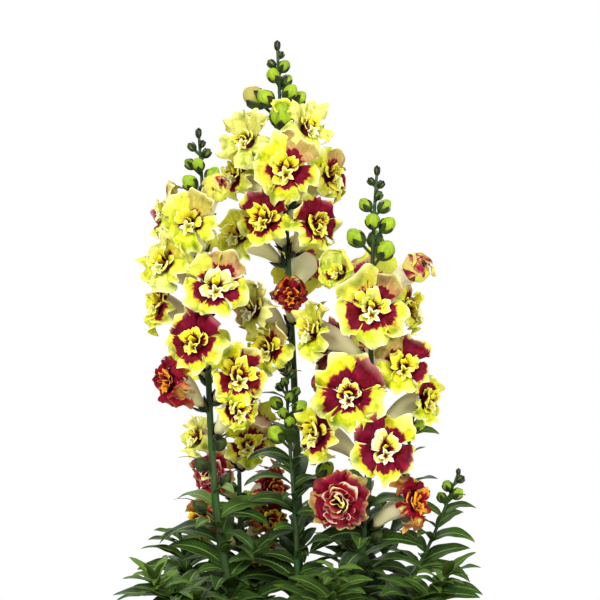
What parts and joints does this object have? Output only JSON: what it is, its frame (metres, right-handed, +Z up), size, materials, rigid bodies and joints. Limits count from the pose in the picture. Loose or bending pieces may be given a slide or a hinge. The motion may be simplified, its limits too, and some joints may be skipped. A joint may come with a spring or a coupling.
{
  "type": "potted snapdragon plant",
  "caption": "Double-flowered snapdragon with tall spikes of ruffled yellow and crimson blooms over dense narrow leaves, in a plain round clay pot.",
  "frame": {"origin": "centre of the pot's flat underside", "axes": "+Z up along the pot's axis and the tallest flower spike; -Y is the side the blooms mostly face"},
  "size_m": [0.2198, 0.184, 0.5264],
  "materials": {
    "clay": "matt fired clay",
    "compost": "rough, moist",
    "green": "satin",
    "petal": "soft satin",
    "faded_petal": "soft satin"
  },
  "bodies": {
    "root": {"bloom_back_1": "petal", "bloom_back_2": "petal", "bloom_back_3": "petal", "bloom_back_4": "faded_petal", "bloom_back_5": "faded_petal", "bloom_centre_1": "petal", "bloom_centre_10": "petal", "bloom_centre_11": "petal", "bloom_centre_12": "petal", "bloom_centre_13": "petal", "bloom_centre_2": "petal", "bloom_centre_3": "petal", "bloom_centre_4": "petal", "bloom_centre_5": "petal", "bloom_centre_6": "petal", "bloom_centre_7": "petal", "bloom_centre_8": "petal", "bloom_centre_9": "faded_petal", "bloom_left_1": "petal", "bloom_left_10": "petal", "bloom_left_11": "petal", "bloom_left_12": "petal", "bloom_left_2": "petal", "bloom_left_3": "petal", "bloom_left_4": "petal", "bloom_left_5": "petal", "bloom_left_6": "petal", "bloom_left_7": "petal", "bloom_left_8": "faded_petal", "bloom_left_9": "petal", "bloom_right_1": "petal", "bloom_right_10": "petal", "bloom_right_11": "petal", "bloom_right_12": "faded_petal", "bloom_right_13": "faded_petal", "bloom_right_14": "petal", "bloom_right_15": "petal", "bloom_right_2": "petal", "bloom_right_3": "petal", "bloom_right_4": "petal", "bloom_right_5": "petal", "bloom_right_6": "petal", "bloom_right_7": "petal", "bloom_right_8": "petal", "bloom_right_9": "petal", "compost": "compost", "pot": "clay", "stem_back": "green", "stem_back_left": "green", "stem_back_right": "green", "stem_centre": "green", "stem_front_low": "green", "stem_left": "green", "stem_left_low": "green", "stem_left_side": "green", "stem_right": "green", "stem_right_back": "green", "stem_right_low": "green", "stem_right_side": "green", "stem_young": "green"}
  },
  "joints": []
}
